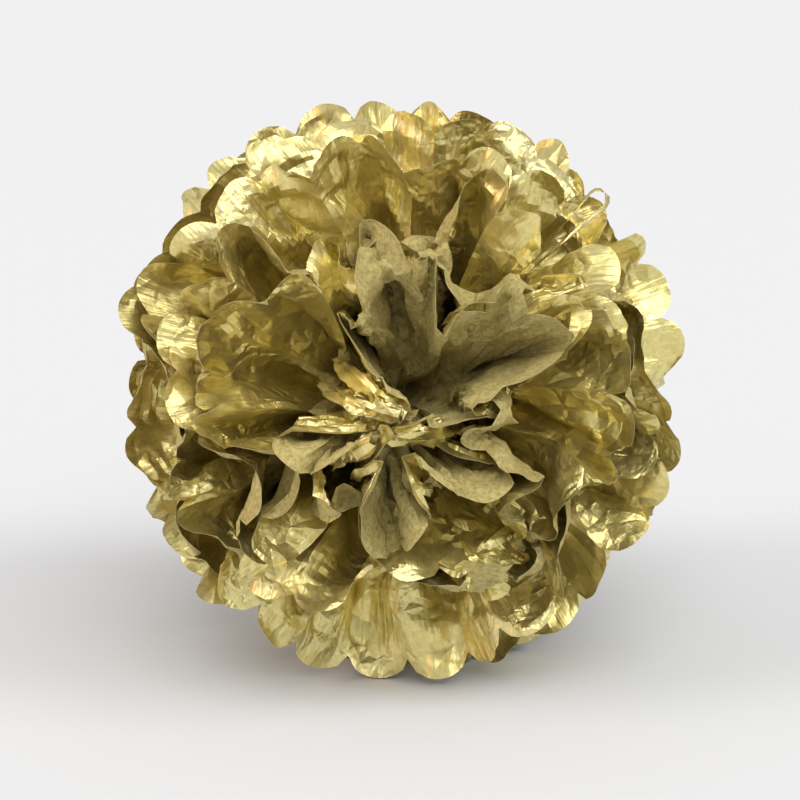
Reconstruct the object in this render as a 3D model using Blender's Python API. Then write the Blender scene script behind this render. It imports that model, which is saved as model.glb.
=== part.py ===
"""Tissue paper pom pom, 250 mm across: twelve accordion-folded sheets, a wire tie and a ribbon loop.

Each sheet is one piece of tissue, 250 x 375 mm, folded into 15 pleats of 25 mm and cut round at both
ends, so that every pleat ends in a lobe. The stack is pinched at its middle by a wire, which leaves a
narrow neck and a wing of 15 pleats to each side. Six sheets are pulled towards the front pole and six
towards the back pole, each to its own angle, and the two wings of a sheet then make a ruffled cup.
The ribbon leaves through the slit between the wings.

Metres, +Z up, front pole towards -Y. The origin is on the table, under the middle of the ball.
"""

import math

import bmesh
import bpy
from mathutils import Vector

# The flat sheet
PLEATS = 15
PLEAT_WIDTH = 0.025
SHEET_LENGTH = 0.250
SCALLOP_DEPTH = 0.0095
SHEET_THICKNESS = 0.00045

# The neck, where the wire gathers the whole stack
NECK_HALF_LENGTH = 0.0035
NECK_HALF_WIDTH = 0.0040
NECK_PITCH = 0.0010

# How the ball is opened and how it lies
SHEETS_PER_SIDE = 6
POLAR_ANGLES_DEG = (9, 26, 42, 57, 71, 85)
WING_HALF_SPAN_DEG = 86
SLIT_ANGLE_DEG = 45
POLE_TILT_DEG = 6
HUB_HEIGHT = 0.1146
RUFFLE_SHARE_OF_GAP = 0.38
FLOOR_SNAP = 0.0012

WING_LENGTH = SHEET_LENGTH / 2 - NECK_HALF_LENGTH
CUSP_DISTANCE = WING_LENGTH - SCALLOP_DEPTH
ROW_DISTANCES = (0.0, 0.028, 0.075, CUSP_DISTANCE)
LOBE_STEPS = (-0.7, 0.0, 0.7)
LAST_ANGLE_FOLDED_FRONT_DEG = 100

# Wire tie
WIRE_RADIUS = 0.0005
WIRE_GAP = 0.0003
WIRE_CLEARANCE = 0.0001
WIRE_STRAND_OFFSET = 0.00062
WIRE_CORNER_STEPS = 4
LOOP_START = -0.0020
LOOP_END = -0.0030
TWIST_LENGTH = 0.007
TWIST_TURNS = 2.0
TWIST_STEPS = 20
TWIST_FOOT = (-0.0025, 0.0018)
TWIST_LEAN_DEG = 30

# Ribbon loop: places along the slit and along the pole from the hub, and half the strands' spread
RIBBON_WIDTH = 0.0020
RIBBON_ROUTE = (
    (0.0085, 0.0100, 0.00130),
    (0.0180, 0.0150, 0.00130),
    (0.0330, 0.0225, 0.00130),
    (0.0500, 0.0300, 0.00135),
    (0.0680, 0.0365, 0.00150),
    (0.0850, 0.0410, 0.00190),
    (0.1000, 0.0430, 0.00280),
    (0.1120, 0.0425, 0.00400),
)
RIBBON_POINT_SPACING = 0.0050
RIBBON_TURN_STEPS = 6
KNOT_SCALE = 0.0009
KNOT_RADIUS = 0.0005
KNOT_STEPS = 36
KNOT_PLACE = (0.0040, 0.0092)

# Directions: the front pole, up across the ball's face, along the slit and along the wings
TILT = math.radians(POLE_TILT_DEG)
SLIT = math.radians(SLIT_ANGLE_DEG)
POLE = Vector((0.0, -math.cos(TILT), math.sin(TILT)))
FACE_UP = Vector((0.0, math.sin(TILT), math.cos(TILT)))
ALONG_SLIT = Vector((1, 0, 0)) * math.cos(SLIT) + FACE_UP * math.sin(SLIT)
ALONG_WING = Vector((1, 0, 0)) * math.sin(SLIT) - FACE_UP * math.cos(SLIT)
HUB = Vector((0.0, 0.0, HUB_HEIGHT))


def clear_scene():
    for obj in list(bpy.data.objects):
        bpy.data.objects.remove(obj)


def material(name, colour, roughness, metallic):
    made = bpy.data.materials.new(name)
    made.use_nodes = True
    shader = made.node_tree.nodes["Principled BSDF"]
    shader.inputs["Base Color"].default_value = (*colour, 1.0)
    shader.inputs["Roughness"].default_value = roughness
    shader.inputs["Metallic"].default_value = metallic
    return made


def hub_point(along_slit, along_pole, along_wing=0.0):
    return HUB + ALONG_SLIT * along_slit + POLE * along_pole + ALONG_WING * along_wing


# Sheets


def all_polar_angles():
    """The angle of each sheet from the front pole, from the front bud to the back bud."""
    front = [math.radians(a) for a in POLAR_ANGLES_DEG]
    return front + [math.pi - a for a in reversed(front)]


def angle_gap(angles, index):
    """The smaller of the angles to the neighbouring sheets."""
    neighbours = [i for i in (index - 1, index + 1) if 0 <= i < len(angles)]
    return min(abs(angles[i] - angles[index]) for i in neighbours)


def ruffle_angle(polar, gap, distance):
    """How far a fold stands off its sheet's cone: as deep as the pleat's width asks, within the gap."""
    if distance == 0:
        return 0.0
    step = math.radians(2 * WING_HALF_SPAN_DEG / PLEATS)
    chord = 2 * distance * math.sin(polar) * math.sin(step / 2)
    depth = math.sqrt(max(0.0, PLEAT_WIDTH**2 - chord**2))
    return min(depth / 2 / distance, RUFFLE_SHARE_OF_GAP * gap)


def fold_sign(fold):
    """+1 on a ridge and -1 in a valley, and in between for a place inside a pleat."""
    whole = int(math.floor(fold))
    part = fold - whole
    sign = 1 if whole % 2 == 0 else -1
    return sign * (1 - 2 * part)


def sheet_point(side, fold, distance, polar, gap, stack_place):
    """A point of the sheet's middle surface and the direction of its face towards the front pole."""
    share = fold / PLEATS
    around = math.radians(WING_HALF_SPAN_DEG) * (2 * share - 1)
    outward = ALONG_WING * (side * math.cos(around)) + ALONG_SLIT * math.sin(around)
    angle = polar + fold_sign(fold) * ruffle_angle(polar, gap, distance)
    root = hub_point(NECK_HALF_WIDTH * (2 * share - 1), stack_place, side * NECK_HALF_LENGTH)
    point = root + (outward * math.sin(angle) + POLE * math.cos(angle)) * distance
    if distance == 0:
        return point, POLE
    return point, POLE * math.sin(polar) - outward * math.cos(polar)


def lay_on_floor(point, facing, towards_front, at_cusp):
    """Turns what would pass through the table along it: a lobe's tip then lies flat as a foot.

    Returns the point and the half-thickness step from the middle surface to its front face.
    """
    half = SHEET_THICKNESS / 2
    if point.z > FLOOR_SNAP:
        return point, facing * half
    way = -1 if towards_front else 1
    laid = Vector((point.x, point.y + way * max(0.0, half - point.z), half))
    up = Vector((0, 0, -way))
    if at_cusp:
        return laid, (Vector((0, -1, 0)) + up) * half
    return laid, up * half


def wing_rows(side, polar, gap, stack_place):
    """The wing's points: one row at each distance, and the three points of each lobe."""
    towards_front = polar < math.radians(LAST_ANGLE_FOLDED_FRONT_DEG)

    def place(fold, distance, at_cusp):
        point, facing = sheet_point(side, fold, distance, polar, gap, stack_place)
        return lay_on_floor(point, facing, towards_front, at_cusp)

    rows = [[place(fold, distance, True) for fold in range(PLEATS + 1)] for distance in ROW_DISTANCES]
    lobes = []
    for pleat in range(PLEATS):
        for step in LOBE_STEPS:
            reach = CUSP_DISTANCE + SCALLOP_DEPTH * math.sqrt(1 - step**2)
            lobes.append(place(pleat + (1 + step) / 2, reach, False))
    return rows, lobes


def thicken(points, faces):
    """A closed shell from a middle surface: points are (place, step to the front face)."""
    mesh = bmesh.new()
    front = [mesh.verts.new(place + step) for place, step in points]
    back = [mesh.verts.new(place - step) for place, step in points]
    uses = {}
    for face in faces:
        mesh.faces.new([front[i] for i in face])
        mesh.faces.new([back[i] for i in reversed(face)])
        for a, b in zip(face, face[1:] + face[:1]):
            uses.setdefault(frozenset((a, b)), []).append((a, b))
    for found in uses.values():
        if len(found) == 1:
            a, b = found[0]
            mesh.faces.new((front[b], front[a], back[a], back[b]))
    bmesh.ops.recalc_face_normals(mesh, faces=mesh.faces)
    return mesh


def sheet_mesh(polar, gap, stack_place):
    points = []
    faces = []
    roots = []
    for side in (1, -1):
        rows, lobes = wing_rows(side, polar, gap, stack_place)
        starts = []
        for row in rows:
            starts.append(len(points))
            points.extend(row)
        lobe_start = len(points)
        points.extend(lobes)
        roots.append(starts[0])
        for pleat in range(PLEATS):
            found = []
            for low, high in zip(starts, starts[1:]):
                found.append([low + pleat, low + pleat + 1, high + pleat])
                found.append([low + pleat + 1, high + pleat + 1, high + pleat])
            left_tip, top, right_tip = (lobe_start + len(LOBE_STEPS) * pleat + i for i in range(3))
            left_cusp, right_cusp = starts[-1] + pleat, starts[-1] + pleat + 1
            found.append([left_cusp, right_cusp, top])
            found.append([left_cusp, top, left_tip])
            found.append([right_cusp, right_tip, top])
            faces.extend(found if side == 1 else [face[::-1] for face in found])
    for pleat in range(PLEATS):
        right = roots[0] + pleat
        left = roots[1] + pleat
        faces.append([left, left + 1, right + 1, right])
    return thicken(points, faces)


def add_sheet(name, polar, gap, stack_place, finish):
    data = bpy.data.meshes.new(name)
    mesh = sheet_mesh(polar, gap, stack_place)
    mesh.to_mesh(data)
    mesh.free()
    data.materials.append(finish)
    obj = bpy.data.objects.new(name, data)
    bpy.context.scene.collection.objects.link(obj)
    return obj


def add_sheets(finish):
    angles = all_polar_angles()
    middle = (len(angles) - 1) / 2
    for index, polar in enumerate(angles):
        is_front = index < SHEETS_PER_SIDE
        number = index + 1 if is_front else len(angles) - index
        name = f"{'front' if is_front else 'back'}_sheet_{number}"
        stack_place = (middle - index) * NECK_PITCH
        add_sheet(name, polar, angle_gap(angles, index), stack_place, finish)


# Wire and ribbon


def add_tube(name, points, radius, finish, cyclic=False):
    """A round tube of that radius through the points."""
    curve = bpy.data.curves.new(name, "CURVE")
    curve.dimensions = "3D"
    curve.bevel_depth = radius
    curve.bevel_resolution = 2
    curve.use_fill_caps = not cyclic
    spline = curve.splines.new("POLY")
    spline.points.add(len(points) - 1)
    for target, point in zip(spline.points, points):
        target.co = (*point, 1.0)
    spline.use_cyclic_u = cyclic
    curve.materials.append(finish)
    obj = bpy.data.objects.new(name, curve)
    bpy.context.scene.collection.objects.link(obj)
    return obj


def stack_half_height():
    return (SHEETS_PER_SIDE - 0.5) * NECK_PITCH + SHEET_THICKNESS / 2


def wire_loop_outline():
    """The wire's turn round the neck in the slit's plane: (along slit, along pole) pairs, round corners."""
    half_height = stack_half_height()
    bend = WIRE_GAP + WIRE_RADIUS + WIRE_CLEARANCE
    outline = [(LOOP_START, half_height + bend)]
    for number, (right, up) in enumerate(((1, 1), (1, -1), (-1, -1), (-1, 1))):
        for step in range(WIRE_CORNER_STEPS + 1):
            angle = math.pi / 2 * (1 - number - step / WIRE_CORNER_STEPS)
            along_slit = right * NECK_HALF_WIDTH + bend * math.cos(angle)
            along_pole = up * half_height + bend * math.sin(angle)
            outline.append((along_slit, along_pole))
    outline.append((LOOP_END, half_height + bend))
    return outline


def twist_strand(side):
    """One of the two wire ends, from the loop outwards, wound round the other."""
    lean = math.radians(TWIST_LEAN_DEG)
    axis = (-math.sin(lean), math.cos(lean))
    across = (math.cos(lean), math.sin(lean))
    foot_slit, foot_pole = TWIST_FOOT[0], stack_half_height() + TWIST_FOOT[1]
    points = []
    for step in range(TWIST_STEPS + 1):
        share = step / TWIST_STEPS
        angle = 2 * math.pi * TWIST_TURNS * share
        along = TWIST_LENGTH * share
        sideways = side * WIRE_STRAND_OFFSET * math.sin(angle)
        along_slit = foot_slit + axis[0] * along + across[0] * sideways
        along_pole = foot_pole + axis[1] * along + across[1] * sideways
        points.append(hub_point(along_slit, along_pole, side * WIRE_STRAND_OFFSET * math.cos(angle)))
    return points


def add_wire_tie(finish):
    outline = wire_loop_outline()
    last = len(outline) - 1
    loop = []
    for number, (slit, pole) in enumerate(outline):
        drift = WIRE_STRAND_OFFSET * (2 * number / last - 1)
        loop.append(hub_point(slit, pole, drift))
    points = list(reversed(twist_strand(-1))) + loop + twist_strand(1)
    return add_tube("wire_tie", points, WIRE_RADIUS, finish)


def smooth_route(route, spacing):
    """Points about that far apart on a smooth curve through the route's own points."""
    places = [Vector(p) for p in route]
    ends = [places[0] * 2 - places[1], *places, places[-1] * 2 - places[-2]]
    points = []
    for a, b, c, d in zip(ends, ends[1:], ends[2:], ends[3:]):
        steps = max(1, round((c - b).length / spacing))
        for step in range(steps):
            t = step / steps
            bend = (a * 2 - b * 5 + c * 4 - d) * t**2 + (b * 3 - a - c * 3 + d) * t**3
            points.append((b * 2 + (c - a) * t + bend) / 2)
    points.append(places[-1])
    return points


def ribbon_line():
    """The ribbon's centreline: out along one strand, round the end of the loop and back along the other."""
    out = smooth_route(RIBBON_ROUTE, RIBBON_POINT_SPACING)
    end_slit, end_pole, spread = out[-1]
    strand = [hub_point(*place) for place in out]
    back = [hub_point(slit, pole, -wing) for slit, pole, wing in reversed(out)]
    turn = []
    for step in range(1, RIBBON_TURN_STEPS):
        angle = math.pi * step / RIBBON_TURN_STEPS
        turn.append(hub_point(end_slit + spread * math.sin(angle), end_pole, spread * math.cos(angle)))
    return strand + turn + back


def add_ribbon(finish):
    add_tube("ribbon_loop", ribbon_line(), RIBBON_WIDTH / 2, finish)
    knot = []
    for step in range(KNOT_STEPS):
        t = 2 * math.pi * step / KNOT_STEPS
        slit = KNOT_SCALE * (math.sin(t) + 2 * math.sin(2 * t))
        wing = KNOT_SCALE * (math.cos(t) - 2 * math.cos(2 * t))
        pole = -KNOT_SCALE * math.sin(3 * t)
        knot.append(hub_point(KNOT_PLACE[0] + slit, KNOT_PLACE[1] + pole, wing))
    add_tube("ribbon_knot", knot, KNOT_RADIUS, finish, cyclic=True)


def main():
    clear_scene()
    gold_tissue = material("gold_tissue", (0.62, 0.52, 0.20), 0.35, 0.85)
    wire_steel = material("wire_steel", (0.80, 0.80, 0.78), 0.25, 1.0)
    gold_ribbon = material("gold_ribbon", (0.80, 0.66, 0.22), 0.15, 1.0)
    add_sheets(gold_tissue)
    add_wire_tie(wire_steel)
    add_ribbon(gold_ribbon)


main()
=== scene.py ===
"""Looks of the tissue paper pom pom: crumpled metallic tissue, a ribbon loop and a wire tie.

Each sheet is made from its flat cut, 250 x 375 mm with round lobes at both ends. It is pleated round the
hub as the CAD model gives it, and each pleat is opened, leaned and curled by its own amount. The whole ball
is then relaxed as paper: the paper keeps its lengths and its fold lines, stays nearly flat inside a pleat,
and stays out of the next layers, the ribbon and the table.

Metres, in the CAD model's frame: +Z up, front pole towards -Y, origin on the table under the ball.
"""

import math

import bpy
import numpy as np
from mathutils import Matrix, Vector


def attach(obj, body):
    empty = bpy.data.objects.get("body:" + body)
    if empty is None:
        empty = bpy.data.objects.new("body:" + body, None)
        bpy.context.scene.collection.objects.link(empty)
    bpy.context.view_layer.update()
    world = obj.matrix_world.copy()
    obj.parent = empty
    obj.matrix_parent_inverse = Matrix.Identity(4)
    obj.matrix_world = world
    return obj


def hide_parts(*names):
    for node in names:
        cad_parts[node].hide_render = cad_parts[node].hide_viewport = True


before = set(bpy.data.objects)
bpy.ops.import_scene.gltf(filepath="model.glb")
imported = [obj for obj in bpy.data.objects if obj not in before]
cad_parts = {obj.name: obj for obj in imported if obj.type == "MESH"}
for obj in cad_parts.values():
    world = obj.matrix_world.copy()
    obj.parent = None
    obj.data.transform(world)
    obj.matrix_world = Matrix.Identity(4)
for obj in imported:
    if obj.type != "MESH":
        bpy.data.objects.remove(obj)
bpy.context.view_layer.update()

# The flat sheet, as the CAD model has it
PLEATS = 15
PLEAT_WIDTH = 0.025
SHEET_LENGTH = 0.250
SCALLOP_DEPTH = 0.0095
NECK_HALF_LENGTH = 0.0035
NECK_HALF_WIDTH = 0.0040
NECK_PITCH = 0.0010
WING_LENGTH = SHEET_LENGTH / 2 - NECK_HALF_LENGTH
CUSP_DISTANCE = WING_LENGTH - SCALLOP_DEPTH
LOBE_START = 0.100

# How the ball is opened
SHEETS_PER_SIDE = 6
FRONT_ANGLES_DEG = (17, 33, 47, 60, 73, 86)
BACK_ANGLES_DEG = (171, 154, 138, 123, 109, 96)
WING_HALF_SPANS_DEG = (91, 85, 80, 78, 77, 77)
NECK_HALF_SPAN = math.radians(104)
HUB_HEIGHT = 0.1146
TILT = math.radians(6)
SLIT = math.radians(45)
SHEET_TWIST = math.radians(9)
RIBBON_GAP = math.radians(10)
RIBBON_GAP_SHEETS = (1, 2, 3)

LAST_SHEET_FACING_FRONT = 7

# How unevenly the pleats lie, in degrees at the rim
COMMON_LEAN_DEG = 6
OWN_LEAN_DEG = 9
FOLD_LEAN_DEG = 8
CURL_WAVE_DEG = 24
CURL_FOLD_DEG = 18
CURL_OUT_DEG = (0, 30, 26, 20, 12, 4)
TURNED_TIPS = 4
TURNED_LEAST_DEG = 50
TURNED_MOST_DEG = 105
LIMP_CURL = math.radians(38)
OPENNESS_SPREAD = 1.3
PLEAT_CUP = 0.006
UNEVENNESS = 0.0004

# From and to which distance from the neck the pleats open, deepen, lean, cup and curl
OPENING_START = 0.02
OPENING_END = 0.09
PLEATED_BY = 0.035
LEAN_END = 0.06
CUP_START = 0.05
CUP_END = 0.12
CURL_START = 0.078
CURL_END = 0.112
TURNED_FROM = 0.066

RIGHT = np.array((1.0, 0.0, 0.0))
POLE = np.array((0.0, -math.cos(TILT), math.sin(TILT)))
FACE_UP = np.array((0.0, math.sin(TILT), math.cos(TILT)))
ALONG_SLIT = RIGHT * math.cos(SLIT) + FACE_UP * math.sin(SLIT)
ALONG_WING = RIGHT * math.sin(SLIT) - FACE_UP * math.cos(SLIT)
HUB = np.array((0.0, 0.0, HUB_HEIGHT))

# The relaxing of the paper, first on a coarse grid and then on a fine one
COARSE_COLUMNS = 5
COARSE_ROUNDS = 200
COARSE_HOLD = 0.03
COARSE_REACH = 0.0050
COARSE_SEARCH_EVERY = 12
FINE_ROUNDS = 80
FINE_REACH = 0.0034
FINE_SEARCH_EVERY = 30
PINNED_DISTANCE = 0.006
FREE_DISTANCE = 0.040
FLOOR_GAP = 0.0002

# How firmly two places on the paper keep their distance when it would grow (pull) or shrink (push)
ALONG_THREADS = {"pull": 1.0, "push": 0.9}
ON_DIAGONALS = {"pull": 0.7, "push": 0.6}
STIFF_ACROSS = {"pull": 0.0, "push": 0.4}
STIFF_ACROSS_PLEAT = {"pull": 0.0, "push": 0.06}
STIFF_ALONG = {"pull": 0.0, "push": 0.55}
STIFF_ALONG_PLEAT = {"pull": 0.0, "push": 0.14}
NECK_PULL = 0.2
CREASE_GIVE = 0.95
TURNED_GIVE = 0.97

# How far the layers keep apart, by their distance from the neck
APART_FROM = 0.016
ROOM_PER_LENGTH = 0.028
LEAST_ROOM = 0.0004
MOST_ROOM = 0.0030
LEVEL_LAYERS = 0.7
MOST_LACK = 0.0015
NOT_BEYOND = 0.0045
CROWDING = 0.6

HEART_HOLD = 0.06
HEART_PLEAT_DEPTH = 0.8
CREASES_PER_WING = 110
CREASE_SLACK = 0.05
TENTS_START = 0.015
TENTS_FULL = 0.075
BIG_TENTS = (0.030, 0.26)
SMALL_TENTS = (0.014, 0.20)
SETTLING_ROUNDS = 14
PAPER_HALF_THICKNESS = 0.00006
SHARP_ANGLE = math.radians(20)

# Where the sheet's front, back and cut edge lie in the map for baking
MAP_MARGIN = 0.01
MAP_SPAN = 0.98
MAP_SKIN_SPAN = 0.46
MAP_BACK_FROM = 0.49
MAP_EDGE_FROM = 0.965
MAP_EDGE_SPAN = 0.02

# The seeds of the random draws
COMMON_SEED = 7
CREASE_SEED = 500
TENT_SEED = 900
WING_SEED = 1000

# The ribbon loop, repeated from the CAD model: along the slit, along the pole, and half the strands' spread
RIBBON_WIDTH = 0.0020
RIBBON_THICKNESS = 0.00016
RIBBON_ROUTE = (
    (0.0085, 0.0100, 0.00130),
    (0.0180, 0.0150, 0.00130),
    (0.0330, 0.0225, 0.00130),
    (0.0500, 0.0300, 0.00135),
    (0.0680, 0.0365, 0.00150),
    (0.0850, 0.0410, 0.00190),
    (0.1000, 0.0430, 0.00280),
    (0.1120, 0.0425, 0.00400),
)
RIBBON_POINT_SPACING = 0.0050
RIBBON_TURN_STEPS = 6
RIBBON_ROOM = 0.0016
RIBBON_REACH = 0.014
RIBBON_PUSH = 0.0012
RIBBON_SEEN_FROM = 0.070
FIRST_SHEET_BEHIND_RIBBON = 4
RIBBON_TURNS = 1.5
KNOT_SCALE = 0.0009
KNOT_WIDTH = 0.0012
KNOT_THICKNESS = 0.00032
KNOT_STEPS = 72
KNOT_PLACE = (0.0040, 0.0092)


def smooth_step(low, high, value):
    share = np.clip((value - low) / (high - low), 0, 1)
    return share * share * (3 - 2 * share)


def unit(vectors):
    return vectors / np.maximum(np.linalg.norm(vectors, axis=-1, keepdims=True), 1e-9)


# The ribbon's line


def hub_point(along_slit, along_pole, along_wing=0.0):
    return HUB + ALONG_SLIT * along_slit + POLE * along_pole + ALONG_WING * along_wing


def smooth_route(route, spacing):
    """Places about that far apart on a smooth curve through the route's own places."""
    places = [np.array(p) for p in route]
    ends = [places[0] * 2 - places[1], *places, places[-1] * 2 - places[-2]]
    line = []
    for a, b, c, d in zip(ends, ends[1:], ends[2:], ends[3:]):
        steps = max(1, round(np.linalg.norm(c - b) / spacing))
        for step in range(steps):
            t = step / steps
            bend = (a * 2 - b * 5 + c * 4 - d) * t**2 + (b * 3 - a - c * 3 + d) * t**3
            line.append((b * 2 + (c - a) * t + bend) / 2)
    line.append(places[-1])
    return line


def ribbon_line():
    """The ribbon's centreline: out along one strand, round the end of the loop and back along the other."""
    out = smooth_route(RIBBON_ROUTE, RIBBON_POINT_SPACING)
    end_slit, end_pole, spread = out[-1]
    strand = [hub_point(*place) for place in out]
    back = [hub_point(slit, pole, -wing) for slit, pole, wing in reversed(out)]
    turn = []
    for step in range(1, RIBBON_TURN_STEPS):
        angle = math.pi * step / RIBBON_TURN_STEPS
        turn.append(hub_point(end_slit + spread * math.sin(angle), end_pole, spread * math.cos(angle)))
    return strand + turn + back


def knot_line():
    line = []
    for step in range(KNOT_STEPS):
        t = 2 * math.pi * step / KNOT_STEPS
        slit = KNOT_SCALE * (math.sin(t) + 2 * math.sin(2 * t))
        wing = KNOT_SCALE * (math.cos(t) - 2 * math.cos(2 * t))
        pole = -KNOT_SCALE * math.sin(3 * t)
        line.append(hub_point(KNOT_PLACE[0] + slit, KNOT_PLACE[1] + pole, wing))
    return line


RIBBON_ROUTE_FINE = smooth_route(RIBBON_ROUTE, RIBBON_POINT_SPACING / 2)
RIBBON_SLITS = np.array([slit for slit, _, _ in RIBBON_ROUTE_FINE])
RIBBON_MIDDLE = np.array([hub_point(slit, pole) for slit, pole, _ in RIBBON_ROUTE_FINE])
RIBBON_HALF_SPREAD = np.array([spread for _, _, spread in RIBBON_ROUTE_FINE])


# The flat wing


def flat_wing(per_pleat):
    """Places on the flat wing, x across the pleats and y from the neck, as arrays of rows and columns."""
    columns = PLEATS * per_pleat + 1
    spacing = PLEAT_WIDTH / per_pleat
    x = np.arange(columns) * spacing
    across = 2 * (np.arange(columns) % per_pleat) / per_pleat - 1
    reach = CUSP_DISTANCE + SCALLOP_DEPTH * np.sqrt(1 - across**2)
    straight = np.linspace(0, LOBE_START, round(LOBE_START / spacing) + 1)
    shares = np.arange(1, per_pleat + 1) / per_pleat
    ends = LOBE_START + shares[:, None] * (reach - LOBE_START)[None, :]
    y = np.concatenate([np.repeat(straight[:, None], columns, 1), ends])
    return np.repeat(x[None, :], len(y), 0), y


# The folds' places, wing by wing


def sheet_angles():
    return [math.radians(a) for a in FRONT_ANGLES_DEG] + [math.radians(a) for a in reversed(BACK_ANGLES_DEG)]


def wave(rng, count, phase_places):
    """A smooth random wave along the pleats, about -1 to 1."""
    total = np.zeros_like(phase_places)
    for cycles in range(1, count + 1):
        total += rng.normal() * np.sin(cycles * phase_places + rng.uniform(0, 2 * math.pi))
    return total / math.sqrt(count)


def depth_of_sheet(sheet):
    """How many sheets lie between a sheet and its own pole."""
    return min(sheet, 2 * SHEETS_PER_SIDE - 1 - sheet)


def opened_pleats(rng, polar, half_span, spread):
    """The azimuths of the 16 folds at the rim: some pleats lie open and others stay nearly shut."""
    widest = 2 * math.asin(min(1.0, PLEAT_WIDTH / (2 * WING_LENGTH * math.sin(polar))))
    share = np.exp(spread * rng.normal(size=PLEATS))
    steps = share / share.sum() * 2 * half_span
    for _ in range(20):
        steps = np.minimum(steps, widest)
        steps *= 2 * half_span / steps.sum()
    return np.concatenate([[0], np.cumsum(steps)]) - half_span


def directions(side, azimuth, polar):
    """Unit vectors along the sheet from the hub and square to it towards the front pole."""
    outward = ALONG_WING * side * np.cos(azimuth)[..., None] + ALONG_SLIT * np.sin(azimuth)[..., None]
    sine, cosine = np.sin(polar)[..., None], np.cos(polar)[..., None]
    return outward * sine + POLE * cosine, POLE * sine - outward * cosine


def random_folds(rng, common, side, polar, depth):
    """How each of a wing's 16 folds lies: azimuth, polar angle and the turn of its tip, in radians."""
    half_span = math.radians(WING_HALF_SPANS_DEG[depth])
    regular = np.linspace(-half_span, half_span, PLEATS + 1)
    phase = regular + (0 if side > 0 else math.pi)
    lean = COMMON_LEAN_DEG * common(phase) + OWN_LEAN_DEG * wave(rng, 6, phase)
    lean += FOLD_LEAN_DEG * rng.normal(size=PLEATS + 1)
    curl = CURL_WAVE_DEG * wave(rng, 7, phase) + CURL_FOLD_DEG * rng.normal(size=PLEATS + 1)
    for fold in rng.choice(PLEATS, TURNED_TIPS, replace=False):
        curl[fold : fold + 2] -= rng.uniform(TURNED_LEAST_DEG, TURNED_MOST_DEG)
    curl = (curl + CURL_OUT_DEG[depth]) * (1 if polar < math.pi / 2 else -1)
    return opened_pleats(rng, polar, half_span, OPENNESS_SPREAD), polar + np.radians(lean), np.radians(curl)


def fold_heights(sheet, polar, distance, azimuth):
    """How far the folds stand off the sheet's middle, so that the pleats between them keep their width."""
    step = np.diff(azimuth, axis=1)
    chord = 2 * distance * math.sin(polar) * np.sin(step / 2)
    depth = np.sqrt(np.maximum(0, PLEAT_WIDTH**2 - chord**2)) * smooth_step(0.0, PLEATED_BY, distance)
    if sheet == 0:
        depth = depth * HEART_PLEAT_DEPTH
    signs = np.where(np.arange(PLEATS) % 2 == 0, -1, 1)
    height = np.concatenate([np.zeros_like(distance), np.cumsum(depth * signs, axis=1)], axis=1)
    trend = np.stack([np.ones(PLEATS + 1), np.arange(PLEATS + 1)], 1)
    return height - (trend @ np.linalg.lstsq(trend, height.T, rcond=None)[0]).T


def fold_roots(sheet, side):
    """Where a wing's folds leave the neck."""
    across = NECK_HALF_WIDTH * (2 * np.arange(PLEATS + 1) / PLEATS - 1)
    level = (SHEETS_PER_SIDE - 0.5 - sheet) * NECK_PITCH
    return HUB + ALONG_SLIT * across[:, None] + POLE * level + ALONG_WING * side * NECK_HALF_LENGTH


def start_wing(rng, folds, sheet, side, polar, x, y):
    """The wing's points before the paper is relaxed."""
    opened, leaned, curl = folds
    if sheet in RIBBON_GAP_SHEETS:
        opened = opened - RIBBON_GAP
    else:
        opened = opened + SHEET_TWIST * side * (-1) ** sheet
    regular = np.linspace(-NECK_HALF_SPAN, NECK_HALF_SPAN, PLEATS + 1)
    cup = PLEAT_CUP * rng.normal(size=PLEATS)
    distance = y[:, :1]
    opening = smooth_step(OPENING_START, OPENING_END, distance)
    azimuth = regular * (1 - opening) + opened * opening
    angle = polar + (leaned - polar) * smooth_step(0.0, LEAN_END, distance)
    angle = angle + curl * smooth_step(CURL_START, CURL_END, distance)
    height = fold_heights(sheet, polar, distance, azimuth)
    along, facing = directions(side, azimuth, angle)
    advance = np.diff(distance, axis=0)[..., None] * (along[1:] + along[:-1]) / 2
    spine = np.concatenate([np.zeros_like(along[:1]), np.cumsum(advance, axis=0)])
    fold_lines = fold_roots(sheet, side) + spine + facing * height[..., None]
    place = x[0] / PLEAT_WIDTH
    left = np.minimum(place.astype(int), PLEATS - 1)
    share = (place - left)[None, :, None]

    def between(values):
        return values[:, left] * (1 - share) + values[:, left + 1] * share

    bow = (4 * share * (1 - share)) * (cup[left] * smooth_step(CUP_START, CUP_END, distance))[..., None]
    points = between(fold_lines) + unit(between(facing)) * bow
    points = points + unit(between(along)) * (y - distance)[..., None]
    return points + rng.normal(size=points.shape) * UNEVENNESS


# The heart of the ball is given fold by fold: each fold of the innermost sheet has its azimuth, its polar
# angle and how far its tip curls outwards. Open folds with a curl make petals, and the rest are tucked into
# the hollow.
HEART_FOLDS_DEG = {
    1: (
        (-91, 13, -20), (-83, 11, -70), (-75, 15, 40), (-50, 17, 48), (-25, 15, 40), (-17, 10, -80),
        (-8, 15, 38), (24, 16, 44), (29, 12, -60), (34, 10, -90), (39, 12, -40), (44, 17, -20),
        (49, 25, 0), (55, 36, 4), (73, 39, 6), (91, 37, 8),
    ),
    -1: (
        (-91, 13, -20), (-83, 10, -70), (-76, 15, 40), (-44, 16, 46), (-34, 11, -60), (-24, 9, -90),
        (-13, 11, -50), (-2, 9, -85), (9, 13, -40), (20, 20, -10), (25, 28, 0), (30, 38, 4),
        (50, 38, 4), (56, 27, 0), (62, 18, 5), (90, 16, 20),
    ),
}


def heart_folds(side):
    azimuth, polar, curl = np.radians(np.array(HEART_FOLDS_DEG[side], float)).T
    return azimuth, polar, curl


# Relaxing


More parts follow.
